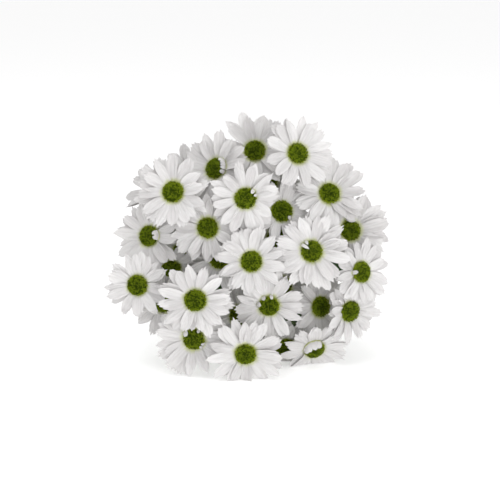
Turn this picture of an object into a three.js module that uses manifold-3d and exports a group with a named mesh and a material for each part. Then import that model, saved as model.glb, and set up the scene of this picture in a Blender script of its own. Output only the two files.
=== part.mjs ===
// A tied bunch of white daisy chrysanthemums with green centres, lying on a table.
//
// Six cut sprays make the bunch. Each is one stem that branches into flower stalks, and each stalk ends in a
// green calyx and a domed green disc. A whorl of white petals sits round the disc. Leaves grow on the stems,
// and an elastic band holds the stems together.
//
// The export's frame is in millimetres with +Z up. The table is at Z = 0, +Y runs from the flowers to the cut
// ends, and the origin is the middle of the underside of the bunch's box.
//
// The bunch itself is built in a frame of its own: X across its face, Y up its face, and Z out of its face,
// from the cut ends to the flowers. The middle flowers' petals are near Z = 0.
import * as THREE from "three";
import { mergeVertices } from "three/addons/utils/BufferGeometryUtils.js";
import Module from "manifold-3d";

// Driving dimensions, in millimetres and degrees.
const CROWN_RADIUS = 118; // bunch axis to the centre of the outermost flower
const CROWN_RISE = 40; // the outermost flowers start this far behind the middle ones
const BUNCH_LENGTH = 500; // middle flowers to the cut ends
const END_TO_TIE = 150; // cut ends to the middle of the band
const END_SPREAD = 19; // bunch axis to the outer stems' middles at the cut ends
const PRESSED = 7; // how much of the lowest petals the bunch's weight presses away
const FLOWER_DIAMETER = 71;
const PETAL_COUNT = 11;
const PETAL_THICKNESS = 1.6;
const PETAL_LIFT = 11; // degrees that a whorl rises from the disc to its petal tips
const PETAL_NOTCH = 10; // depth of the gaps between petal tips
const TIP_SHARE = 0.44; // width of a petal's blunt tip, as a share of the petals' pitch
const DISC_DIAMETER = 21;
const DISC_HEIGHT = 4.6; // petals to the top of the disc
const NECK_DIAMETER = 15.4; // where the petals are rooted, under the disc
const CALYX_DEPTH = 7.5; // petals to the stalk
const STEM_DIAMETER = 5.6;
const STALK_DIAMETER = 2.6;
const LEAF_LENGTH = 74;
const LEAF_WIDTH = 40;
const LEAF_THICKNESS = 0.9;
const BAND_TURNS = 4;
const BAND_DIAMETER = 2.4; // of the elastic band's cord
const GRIP_LENGTH = 72; // the stems run side by side over this length, with the band at its middle
const GAP = 0.35; // left between pieces that touch
const PETAL_ROOM = 1.6; // left between one flower's petals and the next one's

const STEM_SIDES = 8;
const STEM_STEPS = 15;
const STALK_SIDES = 5;
const STALK_STEPS = 5;
const DISC_SIDES = 8;
const BAND_SIDES = 20;
const SETTLE_STEP = 0.5; // how finely a flower is pushed back behind its neighbours
const TABLE_NORMAL = new THREE.Vector3(0, 0, 1);

// One row for each flower, the front ones first: its spray, its place across and up the bunch's face in
// hundredths of CROWN_RADIUS, its size in hundredths of FLOWER_DIAMETER, how far it leans outwards in degrees,
// and the way that it leans, in degrees anticlockwise from +X.
const FLOWERS = [
  [3, -45, -42, 100, 8, 250],
  [0, 2, -10, 96, 10, 90],
  [1, -3, 44, 97, 15, 270],
  [4, -3, -88, 103, 18, 270],
  [5, 53, -1, 104, 6, 0],
  [2, -64, 49, 102, 12, 140],
  [1, 41, 82, 98, 20, 30],
  [5, 96, -19, 90, 32, 5],
  [5, 69, 48, 104, 20, 60],
  [0, -35, 19, 98, 8, 200],
  [5, 87, -53, 90, 30, 340],
  [3, -95, -30, 90, 13, 200],
  [4, 17, -47, 96, 20, 270],
  [3, -47, -76, 106, 14, 235],
  [5, 88, 17, 106, 15, 20],
  [2, -86, 12, 100, 25, 170],
  [2, -28, 70, 102, 29, 150],
  [4, 57, -86, 94, 38, 290],
  [5, 62, -50, 96, 32, 0],
  [1, 5, 86, 106, 15, 95],
  [1, 28, 33, 90, 10, 60],
  [4, 32, -86, 92, 24, 275],
  [3, -74, -45, 96, 24, 215],
  [0, -25, -7, 90, 10, 180],
  [4, -8, -58, 92, 14, 180],
  [3, -69, -15, 92, 42, 280],
  [1, 19, 91, 92, 34, 85],
  [2, -81, 51, 96, 38, 150],
  [2, -53, 68, 96, 34, 125],
  [5, 100, 17, 92, 36, 10],
  [0, 29, -32, 96, 10, 300],
  [1, 16, 59, 94, 10, 80],
  [2, -31, 38, 92, 8, 140],
  [3, -59, -2, 92, 10, 180],
  [0, 24, 10, 92, 8, 30],
];

// The stems' places round the band, in degrees anticlockwise from +X. The first spray's stem is the core.
const STEM_ANGLES = [null, 84, 156, 228, 300, 12];
const SPIRAL = 34; // degrees that the stems turn about the core between the flowers and the cut ends

// One row for each leaf: its spray, how far it is from the middle flowers to the band in hundredths, the way it
// points from its stem in degrees anticlockwise from +X, how steeply it rises towards the flowers in degrees, and
// its size in hundredths of LEAF_LENGTH.
const LEAVES = [
  [1, 47, 74, 22, 100],
  [1, 60, 110, 34, 92],
  [1, 77, 40, 30, 84],
  [2, 46, 150, 16, 96],
  [2, 60, 182, 26, 100],
  [2, 73, 200, 30, 86],
  [3, 47, 212, 20, 94],
  [3, 59, 250, 36, 90],
  [3, 75, 230, 32, 80],
  [4, 48, 312, 18, 92],
  [4, 64, 275, 34, 84],
  [5, 47, 352, 14, 98],
  [5, 57, 30, 34, 100],
  [5, 74, 330, 30, 86],
];

const WHITE = new THREE.MeshStandardMaterial({ color: 0xf3f2f4, roughness: 0.62, metalness: 0 });
const STALK_GREEN = new THREE.MeshStandardMaterial({ color: 0x5d7a1c, roughness: 0.6, metalness: 0 });
const LEAF_GREEN = new THREE.MeshStandardMaterial({ color: 0x2f4d22, roughness: 0.65, metalness: 0 });
const BAND_TAN = new THREE.MeshStandardMaterial({ color: 0xb98f5e, roughness: 0.7, metalness: 0 });

const wasm = await Module();
wasm.setup();

const radians = THREE.MathUtils.degToRad;
const polar = (radius, angle, z = 0) =>
  new THREE.Vector3(radius * Math.cos(radians(angle)), radius * Math.sin(radians(angle)), z);

// ---- Solids -----------------------------------------------------------------------------------------------

// A closed geometry as a solid that can be joined and cut.
function solidOf(geometry) {
  const bare = geometry.index ? geometry.toNonIndexed() : geometry.clone();
  bare.deleteAttribute("normal");
  bare.deleteAttribute("uv");
  const merged = mergeVertices(bare, 1e-3);
  return new wasm.Manifold(
    new wasm.Mesh({
      numProp: 3,
      vertProperties: merged.attributes.position.array,
      triVerts: new Uint32Array(merged.index.array),
    }),
  );
}

function geometryOf(solid) {
  const mesh = solid.getMesh();
  return new THREE.BufferGeometry()
    .setAttribute("position", new THREE.BufferAttribute(mesh.vertProperties.slice(), 3))
    .setIndex(new THREE.BufferAttribute(mesh.triVerts.slice(), 1));
}

// The largest body of a solid. A stalk that crosses a petal can leave its tip loose, and the tip then goes.
const largestBody = (solid) =>
  solid.decompose().reduce((best, body) => (body.volume() > best.volume() ? body : best));

// A tube of constant width along a curve.
function tube(curve, diameter, sides, steps) {
  const section = new THREE.Shape(
    Array.from({ length: sides }, (_, i) => {
      const corner = polar(diameter / 2, (360 * i) / sides);
      return new THREE.Vector2(corner.x, corner.y);
    }),
  );
  return new THREE.ExtrudeGeometry(section, { steps, extrudePath: curve, bevelEnabled: false });
}

// A lathe turned about +Z, from [radius, height] points that start and end on the axis.
function turned(profile, sides) {
  const points = profile.map(([radius, height]) => new THREE.Vector2(radius, height));
  return new THREE.LatheGeometry(points, sides).rotateX(Math.PI / 2);
}

// Turns +Z to face along a direction and moves the origin to a place.
function placing(place, direction) {
  const turn = new THREE.Quaternion().setFromUnitVectors(TABLE_NORMAL, direction.clone().normalize());
  return new THREE.Matrix4().compose(place, turn, new THREE.Vector3(1, 1, 1));
}

// ---- Flowers ----------------------------------------------------------------------------------------------

// How far a whorl's upper face has risen at a distance from its axis. The neck is where it starts.
const whorlHeight = (radius) => Math.max(0, radius - NECK_DIAMETER / 2) * Math.tan(radians(PETAL_LIFT));

// Every flower's place, facing direction and radius, settled from the front of the bunch to the back.
function settleFlowers() {
  const settled = [];
  for (const [spray, across, up, size, lean, toward] of FLOWERS) {
    const share = Math.hypot(across, up) / 100;
    const flower = {
      spray,
      radius: (FLOWER_DIAMETER / 2) * (size / 100),
      facing: polar(Math.sin(radians(lean)), toward, Math.cos(radians(lean))),
      place: new THREE.Vector3(across, up, 0).multiplyScalar(CROWN_RADIUS / 100),
    };
    flower.place.z = -CROWN_RISE * share * share;
    while (settled.some((front) => !clears(flower, front))) flower.place.z -= SETTLE_STEP;
    settled.push(flower);
  }
  return settled;
}

// Points spread over a flower's petals, on their middle surface.
function petalPoints(flower) {
  const toBunch = placing(flower.place, flower.facing);
  const points = [];
  for (const share of [1, 0.8, 0.6, 0.4])
    for (let angle = 0; angle < 360; angle += 20) {
      const radius = flower.radius * share;
      points.push(polar(radius, angle, whorlHeight(radius)).applyMatrix4(toBunch));
    }
  return points;
}

// True if the back flower lies wholly behind the front one wherever their petals cross.
function clears(back, front) {
  const room = PETAL_THICKNESS + PETAL_ROOM;
  const inFront = placing(front.place, front.facing).invert();
  const inBack = placing(back.place, back.facing).invert();
  const behind = petalPoints(back).every((point) => {
    const local = point.applyMatrix4(inFront);
    const radius = Math.hypot(local.x, local.y);
    if (radius > front.radius + PETAL_ROOM) return true;
    const underDisc = (DISC_DIAMETER / 2 - radius) / (DISC_DIAMETER / 2 - STALK_DIAMETER);
    const calyx = CALYX_DEPTH * THREE.MathUtils.clamp(underDisc, 0, 1);
    return local.z < whorlHeight(radius) - room - calyx;
  });
  return (
    behind &&
    petalPoints(front).every((point) => {
      const local = point.applyMatrix4(inBack);
      const radius = Math.hypot(local.x, local.y);
      if (radius > back.radius + PETAL_ROOM) return true;
      const disc = radius < DISC_DIAMETER / 2 + PETAL_ROOM ? DISC_HEIGHT : 0;
      return local.z > whorlHeight(radius) + room + disc;
    })
  );
}

// A whorl of blunt petals that part at their tips and rise from a hole that fits round the neck. It can be grown
// all round.
function whorl(radius, grow) {
  const pitch = 360 / PETAL_COUNT;
  const holeRadius = (NECK_DIAMETER / 2 + GAP - grow) / Math.cos(radians(pitch / 2));
  const tipRadius = radius + grow;
  const positions = [];
  const corner = (distance, share, side) => {
    const point = polar(distance, share * pitch);
    return [point.x, point.y, whorlHeight(distance) + side * (PETAL_THICKNESS / 2 + grow)];
  };
  const face = (...corners) => {
    for (let i = 2; i < corners.length; i++) positions.push(...corners[0], ...corners[i - 1], ...corners[i]);
  };
  for (let i = 0; i < PETAL_COUNT; i++) {
    const rootStart = [holeRadius, i - 0.5];
    const rootEnd = [holeRadius, i + 0.5];
    const gapStart = [tipRadius - PETAL_NOTCH, i - 0.5];
    const gapEnd = [tipRadius - PETAL_NOTCH, i + 0.5];
    const tipStart = [tipRadius, i - TIP_SHARE / 2];
    const tipEnd = [tipRadius, i + TIP_SHARE / 2];
    for (const side of [1, -1]) {
      const inner = [rootStart, gapStart, gapEnd, rootEnd].map(([d, share]) => corner(d, share, side));
      const outer = [gapStart, tipStart, tipEnd, gapEnd].map(([d, share]) => corner(d, share, side));
      face(...(side > 0 ? inner : inner.reverse()));
      face(...(side > 0 ? outer : outer.reverse()));
    }
    const edges = [
      [gapStart, tipStart],
      [tipStart, tipEnd],
      [tipEnd, gapEnd],
      [rootEnd, rootStart],
    ];
    for (const [from, to] of edges)
      face(corner(...from, 1), corner(...from, -1), corner(...to, -1), corner(...to, 1));
  }
  return new THREE.BufferGeometry().setAttribute("position", new THREE.Float32BufferAttribute(positions, 3));
}

// The calyx, the neck that the petals are rooted in and the domed disc, turned as one and grown all round.
function disc(grow = 0) {
  const petalTop = PETAL_THICKNESS / 2 + GAP;
  const rim = whorlHeight(DISC_DIAMETER / 2) + petalTop;
  return turned(
    [
      [0, -CALYX_DEPTH - grow],
      [STALK_DIAMETER * 0.9 + grow, -CALYX_DEPTH - grow],
      [NECK_DIAMETER / 2 + grow, -petalTop],
      [NECK_DIAMETER / 2 + grow, petalTop],
      [DISC_DIAMETER / 2 + grow, rim],
      [DISC_DIAMETER * 0.36 + grow, (rim + DISC_HEIGHT * 2) / 3 + grow],
      [0, DISC_HEIGHT + grow],
    ],
    DISC_SIDES,
  );
}

// ---- Stems ------------------------------------------------------------------------------------------------

// Bunch axis to the outer stems' middles at the band, with the core stem between them.
const BUNDLE_RADIUS = STEM_DIAMETER + GAP;
const TIE_Z = END_TO_TIE - BUNCH_LENGTH;

// A spray's main stem, from under its own flower through the band to its cut end.
function stemCurve(spray, top) {
  const angle = STEM_ANGLES[spray];
  const at = (radius, turn, z) => polar(angle === null ? 0 : radius, angle + turn, z);
  const foot = top.place.clone().addScaledVector(top.facing, -CALYX_DEPTH + GAP);
  const gripTop = at(BUNDLE_RADIUS, 0, TIE_Z + GRIP_LENGTH / 2);
  const gripFoot = at(BUNDLE_RADIUS, 0, TIE_Z - GRIP_LENGTH / 2);
  const cutEnd = at(END_SPREAD, SPIRAL, -BUNCH_LENGTH);
  const rise = foot.z - gripTop.z;
  const fall = gripFoot.z - cutEnd.z;
  const curve = new THREE.CurvePath();
  curve.add(
    new THREE.CubicBezierCurve3(
      foot,
      foot.clone().addScaledVector(top.facing, -rise * 0.4),
      gripTop.clone().add(new THREE.Vector3(0, 0, rise * 0.4)),
      gripTop,
    ),
  );
  curve.add(new THREE.LineCurve3(gripTop, gripFoot));
  const splay = gripFoot.clone().add(new THREE.Vector3(0, 0, -fall * 0.4));
  curve.add(new THREE.QuadraticBezierCurve3(gripFoot, splay, cutEnd));
  return curve;
}

// The point of a curve at a height, found by halving.
function pointAtHeight(curve, z) {
  let low = 0;
  let high = 1;
  for (let i = 0; i < 24; i++) {
    const middle = (low + high) / 2;
    if (curve.getPoint(middle).z > z) low = middle;
    else high = middle;
  }
  return { point: curve.getPoint(low), tangent: curve.getTangent(low) };
}

// A side flower's stalk, from its calyx to the main stem.
function stalkCurve(flower, stem) {
  const foot = flower.place.clone().addScaledVector(flower.facing, -CALYX_DEPTH + GAP);
  const top = stem.getPoint(0);
  const aside = Math.hypot(foot.x - top.x, foot.y - top.y);
  const joint = pointAtHeight(stem, Math.min(foot.z, top.z) - CROWN_RISE - aside);
  const reach = foot.distanceTo(joint.point);
  return new THREE.CubicBezierCurve3(
    foot,
    foot.clone().addScaledVector(flower.facing, -reach * 0.42),
    joint.point.clone().addScaledVector(joint.tangent, -reach * 0.3),
    joint.point,
  );
}

function bandRing(grow = 0) {
  const inner = BUNDLE_RADIUS + STEM_DIAMETER / 2 + GAP;
  const half = (BAND_TURNS * BAND_DIAMETER) / 2;
  const profile = [[inner - grow, -half - grow]];
  for (let turn = 0; turn < BAND_TURNS; turn++) {
    const low = -half + turn * BAND_DIAMETER;
    profile.push([inner + BAND_DIAMETER * 0.7 + grow, low + BAND_DIAMETER * 0.06]);
    profile.push([inner + BAND_DIAMETER + grow, low + BAND_DIAMETER * 0.5]);
    profile.push([inner + BAND_DIAMETER * 0.7 + grow, low + BAND_DIAMETER * 0.94]);
  }
  profile.push([inner - grow, half + grow], [inner - grow, -half - grow]);
  return turned(profile, BAND_SIDES).translate(0, 0, TIE_Z);
}

// ---- Leaves -----------------------------------------------------------------------------------------------

// Half of a lobed leaf's outline: shares of its length and of its half width, from the leaf stalk to the tip.
const LEAF_EDGE = [
  [0, 0.07],
  [0.2, 0.08],
  [0.28, 0.62],
  [0.4, 0.7],
  [0.44, 0.36],
  [0.54, 0.98],
  [0.68, 0.88],
  [0.7, 0.44],
  [0.82, 0.66],
  [0.92, 0.4],
  [1, 0.02],
];
const LEAF_ARCH = 0.16; // how far a leaf's middle stands above the line from root to tip, as a share of its length

// A leaf along +Y from the origin, arched over its length and folded a little at its midrib, grown all round.
function leaf(size, grow) {
  const length = LEAF_LENGTH * size;
  const half = (LEAF_WIDTH / 2) * size;
  const edge = (side) =>
    LEAF_EDGE.map(([along, aside]) => new THREE.Vector2(side * (aside * half + grow), along * (length + grow)));
  const shape = new THREE.Shape([...edge(1), ...edge(-1).reverse()]);
  const depth = LEAF_THICKNESS + 2 * grow;
  const geometry = new THREE.ExtrudeGeometry(shape, { depth, bevelEnabled: false });
  const position = geometry.attributes.position;
  for (let i = 0; i < position.count; i++) {
    const along = position.getY(i) / length;
    const fold = 0.18 * Math.abs(position.getX(i));
    position.setZ(i, position.getZ(i) - grow + 4 * LEAF_ARCH * length * along * (1 - along) + fold);
  }
  return geometry;
}

// ---- Assembly ---------------------------------------------------------------------------------------------

const bunch = new THREE.Group();

// Adds a solid, given in the bunch's frame, as a named mesh with its origin at its own place.
function addPiece(name, solid, place, material) {
  const mesh = new THREE.Mesh(geometryOf(solid).translate(-place.x, -place.y, -place.z), material);
  mesh.name = name;
  mesh.position.copy(place);
  bunch.add(mesh);
}

const flowers = settleFlowers();
const twoDigits = (number) => String(number).padStart(2, "0");

// Each spray's flowers. The main stem ends in the flower nearest to their middle.
const sprays = STEM_ANGLES.map((_, index) => {
  const own = flowers.filter((flower) => flower.spray === index);
  const middle = own.reduce((sum, flower) => sum.add(flower.place), new THREE.Vector3());
  middle.divideScalar(own.length);
  const offCentre = (flower) => Math.hypot(flower.place.x - middle.x, flower.place.y - middle.y);
  const top = own.reduce((best, flower) => (offCentre(flower) < offCentre(best) ? flower : best));
  return { own, top, curve: stemCurve(index, top) };
});

// A flower's stalk, calyx and disc as one solid, grown all round.
function stalkAndHead(flower, grow = 0) {
  const { curve, diameter, sides, steps } = flower.stalk;
  const across = diameter + (2 * grow) / Math.cos(Math.PI / sides);
  const head = disc(grow).applyMatrix4(placing(flower.place, flower.facing));
  return solidOf(tube(curve, across, sides, steps)).add(solidOf(head));
}

for (const { own, top, curve } of sprays)
  for (const flower of own) {
    const stem = { curve, diameter: STEM_DIAMETER, sides: STEM_SIDES, steps: STEM_STEPS };
    const stalk = { diameter: STALK_DIAMETER, sides: STALK_SIDES, steps: STALK_STEPS };
    flower.stalk = flower === top ? stem : { ...stalk, curve: stalkCurve(flower, curve) };
    flower.room = stalkAndHead(flower, GAP);
  }

sprays.forEach(({ own, top }, index) => {
  const solid = own.map((flower) => stalkAndHead(flower)).reduce((whole, piece) => whole.add(piece));
  addPiece(`spray_${index + 1}_stem`, solid, top.place, STALK_GREEN);
});

// The table in the bunch's frame: a plane that touches the lowest cut end and presses the lowest petals.
const bunchBox = new THREE.Box3().setFromObject(bunch);
const lowest = (a, b) => (b.place.y - b.radius < a.place.y - a.radius ? b : a);
const rim = flowers.reduce(lowest);
const rimEdge = { y: rim.place.y - rim.radius * rim.facing.z + PRESSED, z: rim.place.z };
const cutEnd = { y: 0, z: bunchBox.min.z };
for (const { curve } of sprays) cutEnd.y = Math.min(cutEnd.y, curve.getPoint(1).y - STEM_DIAMETER / 2);
const tilt = Math.atan2(cutEnd.y - rimEdge.y, rimEdge.z - cutEnd.z);
const tableUp = new THREE.Vector3(0, Math.cos(tilt), Math.sin(tilt));
const tableOffset = rimEdge.y * tableUp.y + rimEdge.z * tableUp.z;

const aboveTable = (solid) => largestBody(solid.trimByPlane(tableUp.toArray(), tableOffset));
const without = (solid, others) => others.reduce((rest, other) => rest.subtract(other.room), solid);
const whorlSolid = (flower, grow) =>
  solidOf(whorl(flower.radius, grow).applyMatrix4(placing(flower.place, flower.facing)));

flowers.forEach((flower, index) => {
  const others = flowers.filter((other) => other !== flower);
  const solid = aboveTable(without(whorlSolid(flower, 0), others));
  addPiece(`flower_${twoDigits(index + 1)}_petals`, solid, flower.place, WHITE);
});

// A leaf's foot follows the stem that it grows on, and the leaf stops at the flowers and leaves in its way.
const inTheWay = [...flowers, ...flowers.map((flower) => ({ room: whorlSolid(flower, GAP) }))];
inTheWay.push({ room: solidOf(bandRing(GAP)) });
LEAVES.forEach(([spray, behind, toward, rise, size], index) => {
  const { point } = pointAtHeight(sprays[spray].curve, (TIE_Z * behind) / 100);
  const along = polar(Math.cos(radians(rise)), toward, Math.sin(radians(rise)));
  const across = new THREE.Vector3(Math.sin(radians(toward)), -Math.cos(radians(toward)), 0);
  const upward = new THREE.Vector3().crossVectors(across, along);
  const toBunch = new THREE.Matrix4().makeBasis(across, along, upward).setPosition(point);
  const solid = aboveTable(without(solidOf(leaf(size / 100, 0).applyMatrix4(toBunch)), inTheWay));
  inTheWay.push({ room: solidOf(leaf(size / 100, GAP).applyMatrix4(toBunch)) });
  addPiece(`leaf_${twoDigits(index + 1)}`, solid, point, LEAF_GREEN);
});

addPiece("elastic_band", solidOf(bandRing()), new THREE.Vector3(0, 0, TIE_Z), BAND_TAN);

// Lays the bunch on the table, with the origin under the middle of its box.
bunch.rotation.x = Math.PI / 2 - tilt;
const laid = new THREE.Group();
laid.add(bunch);
laid.updateMatrixWorld(true);
const box = new THREE.Box3().setFromObject(laid, true);
const middle = box.getCenter(new THREE.Vector3());
bunch.position.set(-middle.x, -middle.y, -box.min.z);

export default laid;
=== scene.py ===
"""A tied bunch of white daisy chrysanthemums, lying on a white table: its looks, light and camera.

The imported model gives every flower's place, facing and size, and the band's place. Everything else is grown
from those: petals, discs of florets, calyxes, stems, stalks, leaves and the band's cord. Lengths are metres.
"""
import math
import random

import bpy
import numpy as np
from mathutils import Matrix, Vector


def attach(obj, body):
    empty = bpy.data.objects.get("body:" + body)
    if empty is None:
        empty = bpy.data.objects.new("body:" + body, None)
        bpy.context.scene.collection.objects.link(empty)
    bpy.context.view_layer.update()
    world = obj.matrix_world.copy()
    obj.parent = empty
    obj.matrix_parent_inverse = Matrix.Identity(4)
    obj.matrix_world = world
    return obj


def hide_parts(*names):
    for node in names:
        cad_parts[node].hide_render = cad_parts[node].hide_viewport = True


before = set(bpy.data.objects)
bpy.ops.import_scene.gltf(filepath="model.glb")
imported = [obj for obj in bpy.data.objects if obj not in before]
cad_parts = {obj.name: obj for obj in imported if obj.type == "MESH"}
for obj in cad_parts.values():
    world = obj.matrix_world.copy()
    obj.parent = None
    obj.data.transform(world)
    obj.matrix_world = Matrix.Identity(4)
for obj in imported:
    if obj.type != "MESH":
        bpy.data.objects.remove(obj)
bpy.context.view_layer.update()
MM = 0.001
SHARP_ANGLE = math.radians(50)  # faces that meet more steeply keep an edge between them

# ---- Sizes ---------------------------------------------------------------------------------------------

NECK_RADIUS = 7.7 * MM  # where the petals are rooted, under the disc
DISC_RADIUS = 10.4 * MM
DISC_HEIGHT = 4.6 * MM  # petal roots to the top of the disc
CALYX_DEPTH = 7.5 * MM  # petal roots to the stalk
CLEAR_DISCS = 21  # the first flowers, whose discs the whorls in front leave clear
HOLE_CORNERS = 22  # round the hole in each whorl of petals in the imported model
HOLE_RADIUS = 8.43 * MM

PETAL_WIDTH = 11.0 * MM  # on a flower of the full radius
FULL_RADIUS = 35 * MM
PETAL_THICKNESS = 0.38 * MM
PETAL_ROWS = 12  # of faces along a petal
PETAL_COLUMNS = 12
WHORL_LIFT = math.radians(11)  # how steeply a whorl rises from its disc to its petal tips
WHORL_GAP = 1.7 * MM  # petals stay this far behind the whorls in front
MOST_PUSH = 6 * MM  # how far each whorl in front may press a petal back
FOLDED_SHARE = 0.38  # of the petals are folded or twisted
CURL_START = math.radians(74)  # how steeply a curled petal stands at the disc's rim
# The back and the front row of petals: how many there are, how far they are turned as a share of a petal,
# their height, their rise and droop in degrees, and their length as a share of the whorl's.
WHORL_ROWS = [(13, 0.5, -0.9 * MM, 15, 4, 1.14), (12, 0.0, 0.0, 20, -1, 1.07)]
# Short petals that curl in over the disc: the flower's number, and for each petal the way it stands from the
# disc's middle in degrees, its length and width in millimetres, and how far over it curls in degrees.
CURLED_PETALS = {
    3: [(48, 6, 4.0, 118), (20, 5, 3.0, 112)],
    5: [(148, 14, 3.4, 112), (122, 7, 3.0, 118)],
    8: [(185, 7, 4.0, 112)],
    13: [(165, 6, 5.0, 122), (120, 5, 4.6, 118), (78, 5, 3.6, 116)],
    14: [(140, 8, 6.0, 116), (60, 5, 3.4, 105), (318, 5, 3.0, 112), (338, 5, 2.8, 118)],
    15: [(100, 8, 8.0, 112), (78, 7, 6.0, 112)],
    16: [(20, 9, 3.6, 150), (345, 8, 4.0, 140), (0, 6, 5.0, 118)],
    17: [(8, 7, 4.0, 140), (26, 6, 3.6, 128), (350, 7, 3.6, 132), (328, 6, 4.0, 122), (44, 6, 4.2, 112)],
    18: [(160, 8, 7.0, 108), (132, 10, 7.5, 106), (104, 11, 7.5, 104), (76, 9, 7.0, 106)],
    19: [(30, 11, 5.6, 112), (330, 10, 5.8, 110), (355, 8, 5.0, 108)],
    21: [(318, 6, 3.8, 118)],
    22: [(200, 8, 5.0, 112)],
}

# Half outlines turned about a flower's axis, as radius and height in millimetres from the petal roots.
DOME_PROFILE = [(0, 0.4), (8.4, 0.6), (9.6, 1.3), (9.5, 1.9), (7.6, 3.3), (5.0, 4.0), (2.4, 4.0), (0, 3.7)]
CUP_PROFILE = [
    *[(0, -8.6), (1.5, -8.4), (1.9, -7.4), (3.6, -6.6)],  # the foot
    *[(6.2, -4.6), (7.8, -2.4), (8.3, -0.9), (7.2, 0.3), (0, 0.3)],  # the cup and its top
]
# Half outlines of one floret, as radius and height in shares of its size.
BUD_PROFILE = [(0, -0.9), (0.55, -0.8), (0.80, 0.0), (0.66, 0.62), (0.26, 1.0), (0, 1.08)]
OPEN_PROFILE = [(0, -0.9), (0.5, -0.8), (0.52, 0.6), (0.80, 1.15), (0.62, 1.22), (0.2, 0.8), (0, 0.75)]
OPEN_LOBES = {3: 0.30, 4: 0.34}  # how far the lobes stand out, on two of the open floret's rings

STEM_RADIUS = 2.8 * MM
STEM_TOP_RADIUS = 1.75 * MM  # under the flower that the stem itself carries
STALK_RADIUS = 1.3 * MM
STALK_TOP_RADIUS = 1.7 * MM
STALK_FOOT_RADIUS = 1.9 * MM
STEM_RIBS = 5
RIB_DEPTH = 0.045  # as a share of the stem's radius
KNOTS = (0.16, 0.27, 0.38, 0.50, 0.62, 0.90)  # where leaves grew, as shares of the stem
LEAF_VEINS = 5  # on each side of the midrib
VEIN_SLANT = 0.16
LEAF_FLOOR = 0.8 * MM  # how high the middle of a leaf lies where it rests on the table
# The leaves on a stalk: how far along it each grows, and its least and its greatest length in millimetres.
STALK_LEAVES = [(0.13, 22, 30), (0.3, 28, 38), (0.52, 30, 40), (0.93, 22, 32)]
LEAFY_RADIUS = 112 * MM  # leaves on the stalks stay within this, as the flowers hide them

CROWN_TO_TIE = 350 * MM
TIE_TO_ENDS = 150 * MM
CROWN_RISE = 40 * MM
GRIP_LENGTH = 72 * MM  # the stems run straight this far, with the band at its middle
END_SPREAD = 19 * MM
BUNDLE_RADIUS = 5.95 * MM
STEM_ANGLES = [None, 84, 156, 228, 300, 12]  # round the band, the first stem being the core
SPIRAL = 34  # degrees that the stems turn about the core between the band and the cut ends
BAND_TURNS = 4
CORD_RADIUS = 1.15 * MM

FOCAL_LENGTH = 100  # in millimetres, as the sensor is
SENSOR = 36
VIEW_WIDTH = 0.5  # what the view spans at the flowers
VIEW_MIDDLE = (1 * MM, 0, -25 * MM)  # in the bunch's own frame

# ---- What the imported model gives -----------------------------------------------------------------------


def corners(node):
    """A CAD node's distinct corners, one row each."""
    points = np.array([vertex.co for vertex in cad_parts[node].data.vertices], float)
    return np.unique(np.round(points, 6), axis=0)


def surface_middle(node):
    """The middle of a CAD node's surface."""
    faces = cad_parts[node].data.polygons
    return sum((face.center * face.area for face in faces), Vector()) / sum(face.area for face in faces)


def thinnest_direction(points):
    """The direction in which a flat or ring-like set of points spreads least."""
    return Vector(np.linalg.svd(points - points.mean(axis=0))[2][2])


band_corners = corners("elastic_band")
AXIS = thinnest_direction(band_corners)  # along the bunch, towards the flowers
if AXIS.y > 0:
    AXIS.negate()
ACROSS = Vector((1, 0, 0))
UPWARD = AXIS.cross(ACROSS)
TIE = Vector(band_corners.mean(axis=0))
CROWN = TIE + AXIS * CROWN_TO_TIE  # the middle of the flowers' front
SPRAYS = sorted(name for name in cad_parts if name.startswith("spray_"))
spray_corners = [corners(name) for name in SPRAYS]


def bunch_point(across, up, out):
    """A point given in the bunch's own frame."""
    return CROWN + ACROSS * across + UPWARD * up + AXIS * out


def hole_in_whorl(node, points):
    """The middle of the round hole in a whorl of petals, and the corners round it."""

    def away(centre):
        return np.linalg.norm(points - centre, axis=1)

    middle = np.array(surface_middle(node))
    centre = middle
    for _ in range(6):  # the hole's corners are the nearest ones to the middle
        nearest = np.argsort(away(centre))[:HOLE_CORNERS]
        centre = points[nearest].mean(axis=0)
    if np.ptp(away(centre)[nearest]) <= 0.5 * MM:
        return centre, points[nearest]
    centre = middle  # a stalk's cut comes as near as the hole does, so a circle of the hole's size is fitted
    for slack in (1.2, 1.0, 0.8, 0.6, 0.5, 0.4, 0.3, 0.25, 0.2, 0.15):
        nearest = np.flatnonzero(np.abs(away(centre) - HOLE_RADIUS) < slack * MM)
        share = (1 - HOLE_RADIUS / away(centre)[nearest])[:, None]
        centre = centre + 2 * (share * (points[nearest] - centre)).mean(axis=0)
    return centre, points[nearest]


class Flower:
    """One flower's place, facing and size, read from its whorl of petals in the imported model."""

    def __init__(self, node, ahead):
        self.node = node
        self.number = int(node.split("_")[1])
        points = corners(node)
        centre, rim = hole_in_whorl(node, points)
        self.facing = thinnest_direction(rim)
        if self.facing.dot(AXIS) < 0:
            self.facing.negate()
        self.place = Vector(centre)
        self.radius = float(np.linalg.norm(points - centre, axis=1).max())
        right = (ACROSS - self.facing * ACROSS.dot(self.facing)).normalized()
        up = self.facing.cross(right)
        self.turn = Matrix((right, up, self.facing)).transposed()
        self.to_world = Matrix.Translation(self.place) @ self.turn.to_4x4()
        self.foot = self.place - self.facing * CALYX_DEPTH
        gaps = [np.linalg.norm(each - np.array(self.foot), axis=1).min() for each in spray_corners]
        self.spray = int(np.argmin(gaps))
        self.fronts = [front for front in ahead if self.meets(front)]
        self.floor = (0.7 + 0.35 * (len(ahead) % 3)) * MM  # petals pressed on the table lie one over another

    def meets(self, other):
        """Whether the petals of two flowers can touch."""
        return (other.place - self.place).length < other.radius + self.radius


flowers = []  # the foremost come first
for name in sorted(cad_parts):
    if name.endswith("_petals"):
        flowers.append(Flower(name, flowers))

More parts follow.
